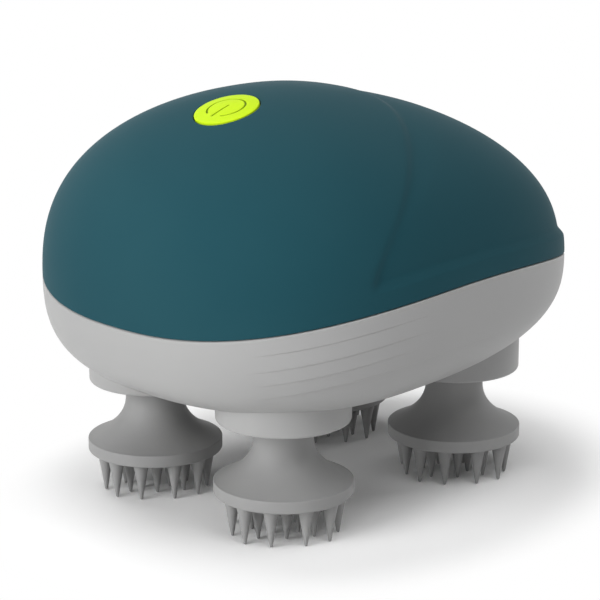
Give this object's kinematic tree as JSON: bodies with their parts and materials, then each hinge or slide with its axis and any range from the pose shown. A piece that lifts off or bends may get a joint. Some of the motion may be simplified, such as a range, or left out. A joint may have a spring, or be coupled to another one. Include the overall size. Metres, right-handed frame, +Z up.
{
  "type": "electric scalp massager",
  "caption": "Palm-sized electric scalp massager: a domed casing with a power button over turning heads with soft teeth, driven by a motor and gear train.",
  "frame": {"origin": "middle of the overall box, on the table under the tooth tips", "axes": "+Z up, +Y towards the recessed tail, -Y towards the power button, +X across; the four head axes run along Z"},
  "size_m": [0.115, 0.126, 0.0995],
  "materials": {
    "teal_shell": "satin soft-touch coating, dark teal",
    "grey_shell": "fine satin moulded plastic, light grey",
    "lime_button": "soft satin, lime green",
    "head_silicone": "matte silicone, mid grey",
    "hub_plastic": "moulded, dark grey",
    "gasket": "matte, black",
    "black_plastic": "moulded, black",
    "frame_plastic": "glass-filled, pale grey",
    "gear_acetal": "machined-looking acetal, ivory",
    "pinion_brass": "satin",
    "bush_bronze": "sintered bronze",
    "shaft_steel": "ground",
    "screw_steel": "zinc plated",
    "motor_steel": "zinc plated can",
    "contact_gold": "gold plated",
    "board_green": "solder mask",
    "cell_wrap": "shrink-wrapped can, blue",
    "lead_wire": "insulated wire"
  },
  "bodies": {
    "housing": {"top_shell": "teal_shell", "bottom_shell": "grey_shell", "seam_gasket": "gasket", "button_ring": "gasket", "tact_switch": "black_plastic", "circuit_board": "board_green", "board_chips": "black_plastic", "board_screws": "screw_steel", "battery_cell": "cell_wrap", "battery_tray": "frame_plastic", "battery_straps": "frame_plastic", "motor_can": "motor_steel", "motor_end_cap": "black_plastic", "motor_screws": "screw_steel", "gearbox_base": "frame_plastic", "gearbox_cover": "frame_plastic", "gearbox_spacers": "screw_steel", "gearbox_screws": "screw_steel", "drive_axle": "shaft_steel", "reduction_axle": "shaft_steel", "case_screws": "screw_steel", "charge_contacts": "contact_gold", "motor_leads": "lead_wire", "battery_leads": "lead_wire", "charge_leads": "lead_wire", "shaft_bush_front_left": "bush_bronze", "shaft_seal_front_left": "gasket", "shaft_bush_front_right": "bush_bronze", "shaft_seal_front_right": "gasket", "shaft_bush_rear_left": "bush_bronze", "shaft_seal_rear_left": "gasket", "shaft_bush_rear_right": "bush_bronze", "shaft_seal_rear_right": "gasket"},
    "button": {"power_button": "lime_button", "switch_plunger": "black_plastic"},
    "motor_rotor": {"motor_shaft": "shaft_steel", "motor_pinion": "pinion_brass"},
    "reduction": {"reduction_gear": "gear_acetal"},
    "drive": {"drive_gear": "gear_acetal"},
    "head_front_left": {"massage_head_front_left": "head_silicone", "head_hub_front_left": "hub_plastic", "output_shaft_front_left": "shaft_steel", "output_gear_front_left": "gear_acetal"},
    "head_front_right": {"massage_head_front_right": "head_silicone", "head_hub_front_right": "hub_plastic", "output_shaft_front_right": "shaft_steel", "output_gear_front_right": "gear_acetal"},
    "head_rear_left": {"massage_head_rear_left": "head_silicone", "head_hub_rear_left": "hub_plastic", "output_shaft_rear_left": "shaft_steel", "output_gear_rear_left": "gear_acetal"},
    "head_rear_right": {"massage_head_rear_right": "head_silicone", "head_hub_rear_right": "hub_plastic", "output_shaft_rear_right": "shaft_steel", "output_gear_rear_right": "gear_acetal"}
  },
  "joints": [
    {"name": "button_press", "type": "slide", "parent": "housing", "child": "button", "axis": [0, 0.2857, -0.9583], "range_m": [0, 0.0005], "stiffness_N_per_m": 400, "springref_m": -0.001},
    {"name": "drive_gear_spin", "type": "hinge", "parent": "housing", "child": "drive", "pos_m": [0, -0.0012, 0.043], "axis": [0, 0, 1], "continuous": true},
    {"name": "reduction_gear_spin", "type": "hinge", "parent": "housing", "child": "reduction", "pos_m": [0, 0.0298, 0.043], "axis": [0, 0, 1], "continuous": true},
    {"name": "motor_spin", "type": "hinge", "parent": "housing", "child": "motor_rotor", "pos_m": [0, 0.01, 0.05], "axis": [0, 0, 1], "continuous": true},
    {"name": "head_front_left_spin", "type": "hinge", "parent": "housing", "child": "head_front_left", "pos_m": [-0.0225, -0.0312, 0.02], "axis": [0, 0, 1], "continuous": true},
    {"name": "head_front_right_spin", "type": "hinge", "parent": "housing", "child": "head_front_right", "pos_m": [0.0225, -0.0312, 0.02], "axis": [0, 0, 1], "continuous": true},
    {"name": "head_rear_left_spin", "type": "hinge", "parent": "housing", "child": "head_rear_left", "pos_m": [-0.0225, 0.0288, 0.02], "axis": [0, 0, 1], "continuous": true},
    {"name": "head_rear_right_spin", "type": "hinge", "parent": "housing", "child": "head_rear_right", "pos_m": [0.0225, 0.0288, 0.02], "axis": [0, 0, 1], "continuous": true}
  ],
  "couplings": [
    {"joint": "reduction_gear_spin", "follows": "drive_gear_spin", "ratio": -4.1667},
    {"joint": "motor_spin", "follows": "drive_gear_spin", "ratio": 18.75},
    {"joint": "head_front_left_spin", "follows": "drive_gear_spin", "ratio": -2},
    {"joint": "head_front_right_spin", "follows": "drive_gear_spin", "ratio": -2},
    {"joint": "head_rear_left_spin", "follows": "drive_gear_spin", "ratio": -2},
    {"joint": "head_rear_right_spin", "follows": "drive_gear_spin", "ratio": -2}
  ]
}
